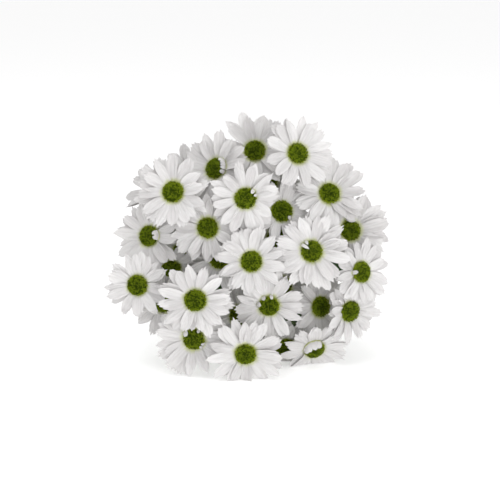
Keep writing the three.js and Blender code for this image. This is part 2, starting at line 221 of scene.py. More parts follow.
# ---- Node trees ----------------------------------------------------------------------------------------


class Value:
    """An output socket that Python's operators work on."""

    def __init__(self, tree, socket):
        self.tree = tree
        self.socket = socket

    def _math(self, operation, *values):
        return self.tree.value("ShaderNodeMath", {"operation": operation}, *values)

    def __add__(self, other):
        return self._math("ADD", self, other)

    def __sub__(self, other):
        return self._math("SUBTRACT", self, other)

    def __rsub__(self, other):
        return self._math("SUBTRACT", other, self)

    def __mul__(self, other):
        return self._math("MULTIPLY", self, other)

    def __truediv__(self, other):
        return self._math("DIVIDE", self, other)

    def __pow__(self, other):
        return self._math("POWER", self, other)

    __radd__ = __add__
    __rmul__ = __mul__

    def cosine(self):
        return self._math("COSINE", self)

    def sine(self):
        return self._math("SINE", self)

    def floor(self):
        return self._math("FLOOR", self)

    def size(self):
        return self._math("ABSOLUTE", self)

    def fade(self, low, high):
        """0 below low, 1 above high, and smooth between them. With low above high it falls instead."""
        start, end = (low, high) if low < high else (high, low)
        settings = {"interpolation_type": "SMOOTHSTEP"}
        inputs = {"Value": self, "From Min": start, "From Max": end}
        risen = self.tree.value("ShaderNodeMapRange", settings, **inputs)
        return risen if low < high else 1 - risen


class Tree:
    """A shader or geometry tree, whose nodes all come from one method."""

    def __init__(self, tree):
        self.tree = tree
        tree.nodes.clear()

    def feed(self, socket, value):
        """Links a value to a socket, or sets the socket to a plain one. None leaves it as it is."""
        if isinstance(value, Value):
            self.tree.links.new(value.socket, socket)
        elif value is not None:
            socket.default_value = value

    def node(self, kind, settings=None, *ordered, **named):
        made = self.tree.nodes.new(kind)
        for setting, value in (settings or {}).items():
            setattr(made, setting, value)
        for socket, value in zip(made.inputs, ordered):
            self.feed(socket, value)
        for name, value in named.items():
            self.feed(made.inputs[name], value)
        return made

    def value(self, kind, settings=None, *ordered, output=0, **named):
        return Value(self, self.node(kind, settings, *ordered, **named).outputs[output])


class Finish(Tree):
    """A material: one Principled surface, with light shining through where it is thin."""

    def __init__(self, name):
        self.material = bpy.data.materials.new(name)
        self.material.use_nodes = True
        super().__init__(self.material.node_tree)

    def uv(self):
        """Across and along the piece, from 0 to 1."""
        place = self.value("ShaderNodeUVMap", {"uv_map": "UVMap"})
        split = self.node("ShaderNodeSeparateXYZ", None, place)
        return Value(self, split.outputs["X"]), Value(self, split.outputs["Y"])

    def attribute(self, name):
        return self.value("ShaderNodeAttribute", {"attribute_name": name}, output="Fac")

    def noise(self, scale, detail=3, across=None, along=None):
        """Noise over the object's own coordinates, or over given numbers."""
        if across is None:
            place = self.value("ShaderNodeTexCoord", None, output="Object")
        else:
            place = self.value("ShaderNodeCombineXYZ", None, across, along, 0.0)
        return self.value("ShaderNodeTexNoise", None, Vector=place, Scale=scale, Detail=detail)

    def mix(self, share, first, second):
        """Two colours mixed by a number."""
        made = self.node("ShaderNodeMix", {"data_type": "RGBA"})
        for socket, value in zip((made.inputs[0], made.inputs[6], made.inputs[7]), (share, first, second)):
            self.feed(socket, (*value, 1) if isinstance(value, tuple) else value)
        return Value(self, made.outputs[2])

    def bump(self, height, distance, strength=1.0):
        return self.value("ShaderNodeBump", None, Height=height, Distance=distance, Strength=strength)

    def finish(self, color, roughness, normal=None, through=0.0, **principled):
        """Ends the tree. through is the share of the surface that lets light shine through."""
        varied = {"Base Color": color, "Roughness": roughness}
        surface = self.value("ShaderNodeBsdfPrincipled", None, **varied)
        shader = surface.socket.node
        for name, value in principled.items():
            shader.inputs[name.replace("_", " ")].default_value = value
        self.feed(shader.inputs["Normal"], normal)
        if through:
            glow = self.value("ShaderNodeBsdfTranslucent", None, Color=color)
            surface = self.value("ShaderNodeMixShader", None, through, surface, glow)
        self.node("ShaderNodeOutputMaterial", None, surface)
        return self.material


def petal_finish():
    """White petals with fine lengthwise veins and a random tone for each petal, grey painted shade in
    lengthwise streaks and broad folds, tinted yellow-green at the root.
    """
    tree = Finish("petal_white")
    across, along = tree.uv()
    tone = tree.attribute("tone")
    veins = tree.noise(1.0, 2, across * 24, along * 1.4)
    # painted shade: the streaks and the broad fold noise darken the petal as its grooves and folds would be
    # shaded; the fine veins and the tone of each petal are its own colour
    streaks = tree.noise(1.0, 2, across * 9 + tone * 31, along * 1.2)
    fold_shade = tree.noise(1.0, 2, across * 3 + tone * 40, along * 2.4)
    shade = (veins - 0.5) * 0.4 + (streaks - 0.5) * 0.8 + (fold_shade - 0.5) * 0.5 + tone * 0.35
    # the grey that these marks mix in is painted shade
    white = tree.mix(shade.fade(-0.2, 0.5), (0.915, 0.905, 0.900), (0.765, 0.748, 0.745))
    root = along.fade(0.26, 0.04) ** 1.4
    tinted = tree.mix(root * 0.9, white, (0.60, 0.66, 0.13))
    relief = tree.bump(veins + streaks, 0.5 * MM, 0.8)
    return tree.finish(tinted, 0.5, relief, through=0.30, Specular_IOR_Level=0.35)


def disc_finish():
    """Green florets, darkest in the middle of the disc and yellow-green at its rim."""
    tree = Finish("disc_green")
    outward = tree.attribute("outward")
    tips = tree.attribute("tip")
    tone = tree.attribute("tone")
    patches = tree.noise(330.0, 2)
    green = tree.mix(outward.fade(0.05, 0.8), (0.032, 0.062, 0.0), (0.095, 0.148, 0.001))
    rim = tree.mix(outward.fade(0.86, 1.02) * 0.75, green, (0.23, 0.27, 0.010))
    lit = tree.mix(tips * tone * 0.7, rim, (0.24, 0.30, 0.02))
    dark = (0.62 - tone).fade(0.0, 0.55) * 0.75 + (patches - 0.55).fade(0.0, 0.2) * 0.3
    return tree.finish(tree.mix(dark, lit, (0.020, 0.034, 0.0)), 0.7, Specular_IOR_Level=0.08)


def stem_finish():
    """Fresh green stems with fine lengthwise ribs."""
    tree = Finish("stem_green")
    around, along = tree.uv()
    ribs = (around * (math.tau * 2 * STEM_RIBS)).cosine()
    blotches = tree.noise(60.0, 4)
    streaks = tree.noise(1.0, 3, around * 30, along * 60)
    green = tree.mix(blotches.fade(0.35, 0.7), (0.105, 0.185, 0.030), (0.17, 0.25, 0.055))
    ribbed = tree.mix((ribs * 0.5 + 0.5) * 0.35, green, (0.24, 0.32, 0.10))
    streaked = tree.mix(streaks.fade(0.55, 0.8) * 0.5, ribbed, (0.10, 0.13, 0.03))
    relief = tree.bump(ribs * 0.5 + streaks, 0.3 * MM, 0.5)
    return tree.finish(streaked, 0.48, relief, Specular_IOR_Level=0.4)


def cut_finish():
    """The pale pith and browned skin of a cut end."""
    tree = Finish("cut_end")
    outward = tree.attribute("outward")
    speck = tree.noise(1400.0, 4)
    pith = tree.mix(outward.fade(0.62, 0.86), (0.62, 0.62, 0.40), (0.30, 0.36, 0.12))
    skin = tree.mix(outward.fade(0.9, 1.0), pith, (0.16, 0.13, 0.05))
    return tree.finish(tree.mix((speck - 0.4) * 0.8, skin, (0.34, 0.28, 0.13)), 0.75)


def leaf_finish():
    """Dark matt leaves with paler veins."""
    tree = Finish("leaf_green")
    across, along = tree.uv()
    aside = (across - 0.5).size() * 2
    midrib = aside.fade(0.10, 0.02)
    lateral = ((along - aside * VEIN_SLANT) * (math.tau * LEAF_VEINS)).cosine()
    veins = midrib + lateral.fade(0.93, 1.0) * 0.55
    blotches = tree.noise(70.0, 4)
    fine = tree.noise(1.0, 3, across * 60, along * 60)
    green = tree.mix(blotches.fade(0.3, 0.75), (0.020, 0.056, 0.012), (0.044, 0.096, 0.020))
    veined = tree.mix(veins * 0.7, green, (0.12, 0.20, 0.06))
    relief = tree.bump(fine - veins * 1.5, 0.6 * MM, 0.7)
    return tree.finish(veined, 0.55, relief, through=0.12, Specular_IOR_Level=0.35)


def bract_finish():
    """The calyx's green bracts, with dry pale edges."""
    tree = Finish("bract_green")
    across, along = tree.uv()
    edge = ((across - 0.5).size() * 2).fade(0.6, 1.0)
    green = tree.mix(along.fade(0.2, 1.0), (0.07, 0.14, 0.02), (0.15, 0.24, 0.05))
    dry = tree.mix(edge * along.fade(0.4, 0.9), green, (0.42, 0.38, 0.22))
    return tree.finish(dry, 0.6, tree.bump(tree.noise(1500.0), 0.1 * MM, 0.4), Specular_IOR_Level=0.3)


def band_finish():
    """Tan rubber with a dusty bloom."""
    tree = Finish("band_rubber")
    bloom = tree.noise(350.0, 5)
    tan = tree.mix(bloom.fade(0.4, 0.75), (0.47, 0.27, 0.12), (0.60, 0.42, 0.24))
    return tree.finish(tan, 0.55, tree.bump(bloom, 0.1 * MM, 0.5), Specular_IOR_Level=0.4)


PETAL_WHITE = petal_finish()
DISC_GREEN = disc_finish()
STEM_GREEN = stem_finish()
CUT_END = cut_finish()
LEAF_GREEN = leaf_finish()
BRACT_GREEN = bract_finish()
BAND_RUBBER = band_finish()

# ---- Meshes --------------------------------------------------------------------------------------------


def corner_vertices(mesh):
    """Which vertex each face corner of a mesh stands on."""
    found = np.zeros(len(mesh.loops), np.int32)
    mesh.loops.foreach_get("vertex_index", found)
    return found


class Shape:
    """Vertices, faces and their marks, gathered piece by piece into one mesh."""

    def __init__(self):
        self.points = []
        self.faces = []
        self.slots = []
        self.uvs = []
        self.marks = {}

    def add(self, points, faces, uvs=None, slot=0, **marks):
        start = sum(len(each) for each in self.points)
        count = len(points)
        self.points.append(np.asarray(points, float))
        self.faces += [tuple(corner + start for corner in face) for face in faces]
        self.slots += [slot] * len(faces)
        self.uvs.append(np.zeros((count, 2)) if uvs is None else np.asarray(uvs, float))
        for name in sorted(set(self.marks) | set(marks)):
            before = self.marks.setdefault(name, [np.zeros(start)])
            before.append(np.broadcast_to(marks.get(name, 0.0), count))

    def object(self, name, *materials):
        mesh = bpy.data.meshes.new(name)
        mesh.from_pydata(np.concatenate(self.points).tolist(), [], self.faces)
        for material in materials:
            mesh.materials.append(material)
        mesh.polygons.foreach_set("material_index", self.slots)
        uvs = np.concatenate(self.uvs)[corner_vertices(mesh)]
        mesh.uv_layers.new(name="UVMap").data.foreach_set("uv", uvs.ravel())
        for mark, values in self.marks.items():
            layer = mesh.attributes.new(mark, "FLOAT", "POINT")
            layer.data.foreach_set("value", np.concatenate(values).astype(np.float32))
        mesh.shade_smooth()
        mesh.set_sharp_from_angle(angle=SHARP_ANGLE)
        made = bpy.data.objects.new(name, mesh)
        bpy.context.scene.collection.objects.link(made)
        return made


def stays_with(piece, slot, *nodes):
    """Rides a finished piece on the bunch, in place of the CAD nodes that it stands for."""
    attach(piece, "root")
    if nodes:
        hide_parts(*nodes)


def grid_faces(rows, columns, start=0, flip=False):
    """The quads of a grid of (rows + 1) by (columns + 1) points."""
    faces = []
    for row in range(rows):
        for column in range(columns):
            a = start + row * (columns + 1) + column
            quad = (a, a + 1, a + columns + 2, a + columns + 1)
            faces.append(quad[::-1] if flip else quad)
    return faces


def thickened(sheet, thickness):
    """A closed thin solid round a grid of middle points: its points, faces and UVs."""
    rows, columns = sheet.shape[0] - 1, sheet.shape[1] - 1
    normal = np.cross(np.gradient(sheet, axis=1), np.gradient(sheet, axis=0))
    normal /= np.maximum(np.linalg.norm(normal, axis=2, keepdims=True), 1e-12)
    half = normal * np.broadcast_to(np.asarray(thickness), sheet.shape[:2])[..., None] / 2
    points = np.concatenate([(sheet + half).reshape(-1, 3), (sheet - half).reshape(-1, 3)])
    under = (rows + 1) * (columns + 1)
    faces = grid_faces(rows, columns) + grid_faces(rows, columns, under, flip=True)
    rim = list(range(columns + 1))
    rim += [row * (columns + 1) + columns for row in range(1, rows + 1)]
    rim += [rows * (columns + 1) + column for column in range(columns - 1, -1, -1)]
    rim += [row * (columns + 1) for row in range(rows - 1, 0, -1)]
    for here, there in zip(rim, rim[1:] + rim[:1]):
        faces.append((here, here + under, there + under, there))
    across, along = np.meshgrid(np.linspace(0, 1, columns + 1), np.linspace(0, 1, rows + 1))
    return points, faces, np.tile(np.stack([across.ravel(), along.ravel()], axis=1), (2, 1))


def placed(points, matrix):
    matrix = np.array(matrix)
    return np.asarray(points) @ matrix[:3, :3].T + matrix[:3, 3]


def smooth_step(value, low, high):
    share = np.clip((value - low) / (high - low), 0, 1)
    return share * share * (3 - 2 * share)


def above_nought(value, softness):
    """The value where it is above nought and nearly nought where it isn't, with a soft bend between."""
    return 0.5 * (value + np.sqrt(value**2 + softness**2))


def lift_off(points, floor, softness, reach):
    """Lifts the points that lie lower than a reach above the floor, so that none of them is under it."""
    above = points[..., 2] - floor
    points[..., 2] = np.where(above < reach, floor + above_nought(above, softness), points[..., 2])


def whorl_height(radius):
    """How high a whorl of petals stands at a radius from its flower's middle."""
    return np.maximum(0, radius - NECK_RADIUS) * math.tan(WHORL_LIFT)


# ---- Petals --------------------------------------------------------------------------------------------


def running_total(values):
    """The area under evenly spaced values, from the first one to each, over a run of one."""
    return np.concatenate([[0], np.cumsum((values[1:] + values[:-1]) / 2)]) / (len(values) - 1)


def petal_sheet(rng, length, width, rise, droop, cup, roll, notch, point, sway, base=0.42):
    """A petal's middle surface, root at the origin: x across, y outwards, z up the flower's axis.

    rise and droop are the slopes at its root and its tip, cup curls its sides up, roll turns its tip, notch
    is the depth of the cuts between its tip's three teeth, point narrows its tip, sway bends it sideways and
    base is the share of its width that it has at its root.
    """
    aside = np.linspace(-1, 1, PETAL_COLUMNS + 1)[None, :]
    share = (np.linspace(0, 1, PETAL_ROWS + 1) ** 0.85)[:, None]
    lean = rng.uniform(-0.5, 0.5)
    teeth = 0.5 - 0.5 * np.cos(np.pi * 3 * (aside + 1) + lean)
    reach = 1 - (0.15 + 0.22 * point) * np.abs(aside) ** (2.8 - point) * (1 + 0.5 * lean * np.sign(aside))
    reach = reach - notch * (1 - teeth) * (np.abs(aside) < 0.95)
    along = share * reach
    belly = base + (1 - base) * np.sin(np.pi / 2 * np.clip(along / 0.62, 0, 1)) ** 0.9
    belly -= (0.12 + 0.45 * point) * np.clip((along - 0.60) / 0.40, 0, 1) ** 1.8
    x = aside * belly * width / 2
    steps = np.linspace(0, 1, 41)
    slope = rise + (droop - rise) * steps**1.15
    y = length * np.interp(along, steps, running_total(np.cos(slope)))
    z = length * np.interp(along, steps, running_total(np.sin(slope)))
    here = np.interp(along, steps, slope)
    open_part = smooth_step(along, 0.05, 0.4)
    grooves = 0.022 * width * np.cos(np.pi * 3 * aside) * open_part * (1 - 0.4 * along)
    ripple = 0.03 * width * np.sin(math.tau * (along * rng.uniform(0.8, 1.4) + rng.random())) * aside
    raised = cup * width * 0.5 * aside**2 * (0.8 + 0.6 * (1 - along)) * open_part
    raised = raised + grooves + ripple * open_part
    y = y - np.sin(here) * raised
    z = z + np.cos(here) * raised
    turn = roll * along
    return np.stack([x * np.cos(turn) + sway * length * along**2, y, z + x * np.sin(turn)], axis=2)


def push_behind(points, flower):
    """Presses a petal's points back behind the flowers in front, and up onto the table."""
    for front in flower.fronts:
        local = placed(points, front.to_world.inverted())
        radius = np.hypot(local[..., 0], local[..., 1])
        hollow = CALYX_DEPTH * np.clip((DISC_RADIUS - radius) / DISC_RADIUS, 0, 1)
        limit = whorl_height(radius) - WHORL_GAP - hollow
        over = (local[..., 2] - limit) * (1 - smooth_step(radius, front.radius * 0.95, front.radius * 1.08))
        over = np.where(radius < front.radius * 1.08, over, -1)
        shift = np.where(over > -1.5 * MM, np.minimum(above_nought(over, 0.6 * MM), MOST_PUSH), 0)
        points = points - shift[..., None] * np.array(front.facing)
    lift_off(points, flower.floor, 1.2 * MM, 12 * MM)
    return points


def add_petal(shape, flower, angle, root, height, sheet, tone):
    """Stands a petal's sheet at an angle round the flower, fits it to its neighbours and thickens it."""
    turn = angle - math.pi / 2
    spin = np.array([[math.cos(turn), -math.sin(turn), 0], [math.sin(turn), math.cos(turn), 0], [0, 0, 1]])
    world = placed((sheet + np.array([0, root, height])) @ spin.T, flower.to_world)
    rows, columns = sheet.shape[:2]
    thickness = PETAL_THICKNESS * np.linspace(1.25, 0.75, rows)[:, None] * np.ones((1, columns))
    thickness[:, [0, -1]] *= 0.55
    shape.add(*thickened(push_behind(world, flower), thickness), tone=tone)


def covers_disc(flower, angle, length):
    """Whether a petal would reach over the disc of a flower behind it that has to stay clear."""
    out = NECK_RADIUS + length * 0.97
    tip = flower.to_world @ Vector((out * math.cos(angle), out * math.sin(angle), length * 0.2))
    discs = [other.place + other.facing * DISC_HEIGHT for other in flowers[flower.number : CLEAR_DISCS]]
    return any((tip - disc).cross(AXIS).length < DISC_RADIUS + 1.5 * MM for disc in discs)


def add_whorl_row(shape, flower, start, rng, count, offset, height, rise, droop, reach):
    """One row of a flower's petals, each a little different."""
    for index in range(count):
        angle = start + (index + offset + rng.uniform(-0.24, 0.24)) * math.tau / count
        length = (flower.radius - NECK_RADIUS) * reach * rng.uniform(0.90, 1.08)
        for _ in range(6):
            if covers_disc(flower, angle, length):
                length *= 0.95
        folded = rng.random() < FOLDED_SHARE
        sheet = petal_sheet(
            rng,
            length,
            width=PETAL_WIDTH * flower.radius / FULL_RADIUS * rng.uniform(0.84, 1.12),
            rise=math.radians(rise + rng.uniform(-5, 5)),
            droop=math.radians(droop + rng.uniform(-16, 14) + (rng.uniform(-14, 22) if folded else 0)),
            cup=rng.uniform(0.30, 0.65) if folded else rng.uniform(-0.04, 0.22),
            roll=math.radians(rng.uniform(-34, 34) if folded else rng.uniform(-15, 15)),
            notch=rng.choice((0.03, 0.06, 0.09, 0.12)),
            point=rng.choice((0.1, 0.3, 0.45, 0.75)),
            sway=rng.uniform(-0.10, 0.10),
        )
        level = height + rng.uniform(-0.2, 0.2) * MM
        add_petal(shape, flower, angle, NECK_RADIUS - 0.6 * MM, level, sheet, rng.random())


def add_curled_petal(shape, flower, rng, toward, reach, wide, curl):
    """A short petal that stands at the disc's rim and curls in over it."""
    sheet = petal_sheet(
        rng,
        (reach + 1.4) * MM,
        wide * MM,
        rise=CURL_START,
        droop=CURL_START + math.radians(curl),
        cup=rng.uniform(0.1, 0.4),
        roll=math.radians(rng.uniform(-25, 25)),
        notch=0.07,
        point=0.5,
        sway=rng.uniform(-0.12, 0.12),
        base=0.85,
    )
    add_petal(shape, flower, math.radians(toward), DISC_RADIUS + 1.5 * MM, 2.0 * MM, sheet, rng.random())


def grow_petals(flower):
    """A flower's petals, as one piece."""
    rng = random.Random(4100 + flower.number * 17)
    shape = Shape()
    start = rng.uniform(0, math.tau)
    for row in WHORL_ROWS:
        add_whorl_row(shape, flower, start, rng, *row)
    for petal in CURLED_PETALS.get(flower.number, ()):
        add_curled_petal(shape, flower, rng, *petal)
    piece = shape.object(f"petals_{flower.number:02d}", PETAL_WHITE)
    stays_with(piece, "petal", flower.node)


for flower in flowers:
    grow_petals(flower)


# ---- Discs and calyxes ---------------------------------------------------------------------------------


def new_tree(name, inputs):
    """A geometry tree with named inputs, and its input node's outputs by name."""
    group = bpy.data.node_groups.new(name, "GeometryNodeTree")
    group.interface.new_socket("Geometry", in_out="INPUT", socket_type="NodeSocketGeometry")
    for label, kind, value in inputs:
        group.interface.new_socket(label, in_out="INPUT", socket_type=kind).default_value = value
    group.interface.new_socket("Geometry", in_out="OUTPUT", socket_type="NodeSocketGeometry")
    tree = Tree(group)
    source = tree.node("NodeGroupInput")
    given = {socket.name: Value(tree, socket) for socket in source.outputs if socket.name}
    return tree, given


def around_axis(tree, turn, radius, height):
    """A vector that stands at an angle and a radius about z."""
    return tree.value("ShaderNodeCombineXYZ", None, turn.cosine() * radius, turn.sine() * radius, height)


def end_tree(tree, base, dots, turned, size, material, chosen=None):
    """Ends a tree: the base mesh is set on every dot, made real and given its material."""
    copies = tree.value(
        "GeometryNodeInstanceOnPoints",
        None,
        Points=dots,
        Selection=chosen,
        Instance=base,
        Rotation=turned,
        Scale=tree.value("ShaderNodeCombineXYZ", None, size, size, size),
    )
    real = tree.value("GeometryNodeRealizeInstances", None, copies)
    painted = tree.value("GeometryNodeSetMaterial", None, Geometry=real, Material=material)
    tree.node("NodeGroupOutput", None, painted)
    return tree.tree


def florets_tree():
    """Sets a floret on a domed disc again and again, in a spiral, between two shares of its radius."""
    tree, given = new_tree(
        "disc_florets",
        [
            ("Florets", "NodeSocketInt", 190),
            ("First share", "NodeSocketFloat", 0.0),
            ("Last share", "NodeSocketFloat", 1.0),
            ("Disc radius", "NodeSocketFloat", DISC_RADIUS),
            ("Rim height", "NodeSocketFloat", 2.2 * MM),
            ("Dome", "NodeSocketFloat", 2.6 * MM),
            ("Dimple", "NodeSocketFloat", 0.7 * MM),
            ("Size", "NodeSocketFloat", 0.9 * MM),
            ("Lean", "NodeSocketFloat", 0.9),
            ("Seed", "NodeSocketInt", 1),
        ],
    )
    index = tree.value("GeometryNodeInputIndex")
    share = (index + 0.5) / given["Florets"]
    outward = share**0.5
    chance = tree.value("FunctionNodeRandomValue", {"data_type": "FLOAT"}, output=1, Seed=given["Seed"])
    turn = index * (math.pi * (3 - math.sqrt(5))) + given["Seed"] * 1.7
    radius = outward * given["Disc radius"] + (chance - 0.5) * (0.3 * MM)
    dip = given["Dimple"] * (1 - outward * 3.2).fade(0.0, 1.0)
    height = given["Rim height"] + given["Dome"] * (1 - share) ** 0.75 - dip
    place = around_axis(tree, turn, radius, height)
    toward = around_axis(tree, turn, given["Lean"] * outward**1.5, 1.0)
    turned = tree.value("FunctionNodeAlignRotationToVector", {"axis": "Z"}, Vector=toward)
    dots = tree.value("GeometryNodePoints", None, Count=given["Florets"], Position=place)
    for name, mark in (("outward", outward), ("tone", chance)):
        settings = {"data_type": "FLOAT", "domain": "POINT"}
        dots = tree.value("GeometryNodeStoreNamedAttribute", settings, Geometry=dots, Name=name, Value=mark)
    size = given["Size"] * (0.82 + 0.26 * outward) * (0.86 + chance * 0.28)
    from_first = {"data_type": "FLOAT", "operation": "GREATER_EQUAL"}
    to_last = {"data_type": "FLOAT", "operation": "LESS_THAN"}
    inner = tree.value("FunctionNodeCompare", from_first, outward, given["First share"])
    outer = tree.value("FunctionNodeCompare", to_last, outward, given["Last share"])
    chosen = tree.value("FunctionNodeBooleanMath", {"operation": "AND"}, inner, outer)
    return end_tree(tree, given["Geometry"], dots, turned, size, DISC_GREEN, chosen)


def bracts_tree():
    """Lays a bract round a calyx again and again, in rows that climb from the stalk to the petals."""
    tree, given = new_tree(
        "calyx_bracts",
        [
            ("Rows", "NodeSocketInt", 3),
            ("Bracts in a row", "NodeSocketInt", 13),
            ("Lowest radius", "NodeSocketFloat", 2.6 * MM),
            ("Highest radius", "NodeSocketFloat", 6.6 * MM),
            ("Lowest height", "NodeSocketFloat", -7.2 * MM),
            ("Highest height", "NodeSocketFloat", -4.6 * MM),
            ("Lowest slope", "NodeSocketFloat", math.radians(30)),
            ("Highest slope", "NodeSocketFloat", math.radians(56)),
            ("Seed", "NodeSocketInt", 1),
        ],
    )
    index = tree.value("GeometryNodeInputIndex")
    in_row = given["Bracts in a row"]
    row = ((index + 0.01) / in_row).floor()
    climb = row / (given["Rows"] - 1)

    def climbing(size):
        lowest, highest = given[f"Lowest {size}"], given[f"Highest {size}"]
        return lowest + (highest - lowest) * climb

    chance = tree.value("FunctionNodeRandomValue", {"data_type": "FLOAT"}, output=1, Seed=given["Seed"])
    turn = (index / in_row + row * 0.5 / in_row + (chance - 0.5) * 0.012) * math.tau
    place = around_axis(tree, turn, climbing("radius"), climbing("height"))
    slope = climbing("slope") + (chance - 0.5) * 0.2
    turned = tree.value("ShaderNodeCombineXYZ", None, slope, 0.0, turn - math.pi / 2)
    dots = tree.value("GeometryNodePoints", None, Count=in_row * given["Rows"], Position=place)
    return end_tree(tree, given["Geometry"], dots, turned, 0.9 + chance * 0.2, BRACT_GREEN)


def grown(base, group, **inputs):
    """Runs a geometry tree on a base mesh, and gives the points, faces, UVs and marks of what it makes."""
    thing = bpy.data.objects.new("growing", base)
    bpy.context.scene.collection.objects.link(thing)
    modifier = thing.modifiers.new("grow", "NODES")
    modifier.node_group = group
    for item in group.interface.items_tree:
        name = item.name.replace(" ", "_").lower()
        if item.in_out == "INPUT" and name in inputs:
            modifier[item.identifier] = inputs[name]
    graph = bpy.context.evaluated_depsgraph_get()
    mesh = bpy.data.meshes.new_from_object(thing.evaluated_get(graph), depsgraph=graph)
    thing.modifiers.remove(modifier)
    bpy.data.objects.remove(thing)
    points = np.zeros(len(mesh.vertices) * 3)
    mesh.vertices.foreach_get("co", points)
    faces = [tuple(face.vertices) for face in mesh.polygons]
    uvs = np.zeros((len(mesh.vertices), 2))
    if mesh.uv_layers:
        of_corners = np.zeros(len(mesh.loops) * 2)
        mesh.uv_layers[0].data.foreach_get("uv", of_corners)
        uvs[corner_vertices(mesh)] = of_corners.reshape(-1, 2)
    marks = {}
    for name in ("outward", "tip", "tone"):
        layer = mesh.attributes.get(name)
        if layer:
            marks[name] = np.zeros(len(mesh.vertices))
            layer.data.foreach_get("value", marks[name])
    bpy.data.meshes.remove(mesh)
    return points.reshape(-1, 3), faces, uvs, marks


def turned_profile(profile, sides, lobes=None):
    """A closed solid turned about z, from radius and height pairs that start and end on the axis.

    lobes gives the rings whose corners stand alternately out and in, and by what share.
    """
    points = [(0, 0, profile[0][1])]
    for ring, (radius, height) in enumerate(profile[1:-1], 1):
        for side in range(sides):
            turn = math.tau * side / sides
            out = radius * (1 + (lobes or {}).get(ring, 0) * (1 if side % 2 else -1))
            points.append((out * math.cos(turn), out * math.sin(turn), height))
    points.append((0, 0, profile[-1][1]))
    faces = [(0, 1 + (side + 1) % sides, 1 + side) for side in range(sides)]
    for ring in range(len(profile) - 3):
        low = 1 + ring * sides
        for side in range(sides):
            here, there = low + side, low + (side + 1) % sides
            faces.append((here, there, there + sides, here + sides))
    low = 1 + (len(profile) - 3) * sides
    faces += [(low + side, low + (side + 1) % sides, len(points) - 1) for side in range(sides)]
    return np.array(points, float), faces


def base_mesh(name, points, faces, uvs=None, **marks):
    """A small mesh for a tree to repeat."""
    shape = Shape()
    shape.add(points, faces, uvs, **marks)
    made = shape.object(name)
    mesh = made.data
    bpy.data.objects.remove(made)
    return mesh


def floret_mesh(name, profile, sides, lobes, tip_from, tip_to):
    """A floret, marked where its tip is."""
    points, faces = turned_profile(profile, sides, lobes)
    return base_mesh(name, points, faces, tip=smooth_step(points[:, 2], tip_from, tip_to))


def bract_mesh():
    """A calyx bract: a blunt scale that lies along y."""
    along = np.linspace(0, 1, 6)[:, None]
    aside = np.linspace(-1, 1, 5)[None, :]
    half = 1.35 * MM * (1 - 0.75 * np.clip((along - 0.55) / 0.45, 0, 1) ** 2.2)
    x = aside * half
    y = along * 5.6 * MM + 0 * aside
    z = 0.5 * MM * (1 - aside**2) * (1 - 0.4 * along) + 0.25 * MM * along**2
    return base_mesh("bract", *thickened(np.stack([x, y, z], axis=2), 0.3 * MM))


BUD = floret_mesh("bud", BUD_PROFILE, 6, None, 0.1, 1.0)
OPEN_FLORET = floret_mesh("open_floret", OPEN_PROFILE, 10, OPEN_LOBES, 0.4, 1.2)
FLORETS = florets_tree()
BRACT = bract_mesh()
BRACTS = bracts_tree()


def in_metres(profile):
    return [(radius * MM, height * MM) for radius, height in profile]


def add_disc(shape, flower, scale):
    """A flower's domed disc: closed buds in its middle and open florets round its rim."""
    points, faces = turned_profile(in_metres(DOME_PROFILE), 28)
    shape.add(placed(points * (scale, scale, 1), flower.to_world), faces, outward=0.1, tone=0.3)
    open_from = 0.76 + 0.05 * (flower.number % 4)
    for base, start, end, size in ((BUD, 0.0, open_from, 0.92), (OPEN_FLORET, open_from, 1.1, 0.98)):
        points, faces, uvs, marks = grown(
            base,
            FLORETS,
            first_share=start,
            last_share=end,
            disc_radius=(DISC_RADIUS - 0.5 * MM) * scale,
            size=size * MM,
            seed=flower.number,
        )
        shape.add(placed(points, flower.to_world), faces, uvs, **marks)


def add_calyx(shape, flower):
    """The green cup behind a flower, and its bracts."""
    points, faces = turned_profile(in_metres(CUP_PROFILE), 20)
    shape.add(placed(points, flower.to_world), faces)
    points, faces, uvs, _ = grown(BRACT, BRACTS, seed=flower.number)
    shape.add(placed(points, flower.to_world), faces, uvs, slot=1)


# ---- Stems and stalks ----------------------------------------------------------------------------------


def bezier(controls, count):
    """Points along a Bezier curve of two or three degrees."""
    share = np.linspace(0, 1, count)[:, None]
    degree = len(controls) - 1
    return sum(
        math.comb(degree, step) * share**step * (1 - share) ** (degree - step) * np.array(control)
        for step, control in enumerate(controls)
    )


def stem_path(spray, top):
    """A spray's main stem, from its own flower through the band to its cut end."""
    angle = STEM_ANGLES[spray]

    def at(radius, turn, out):
        if angle is None:
            return bunch_point(0, 0, out)
        toward = math.radians(angle + turn)
        return bunch_point(radius * math.cos(toward), radius * math.sin(toward), out)

    grip_top = at(BUNDLE_RADIUS, 0, GRIP_LENGTH / 2 - CROWN_TO_TIE)
    grip_foot = at(BUNDLE_RADIUS, 0, -GRIP_LENGTH / 2 - CROWN_TO_TIE)
    cut = at(END_SPREAD, SPIRAL, -CROWN_TO_TIE - TIE_TO_ENDS)
    rise = (top.foot - grip_top).dot(AXIS)
    fall = (grip_foot - cut).dot(AXIS)
    upper = bezier([top.foot, top.foot - top.facing * rise * 0.4, grip_top + AXIS * rise * 0.4, grip_top], 60)
    straight = bezier([grip_top, (grip_top + grip_foot) / 2, grip_foot], 8)
    lower = bezier([grip_foot, grip_foot - AXIS * fall * 0.4, cut], 24)
    return np.concatenate([upper, straight[1:], lower[1:]])


def depth_along(points):
    """How far points stand out along the bunch, from the crown."""
    return (points - np.array(CROWN)) @ np.array(AXIS)


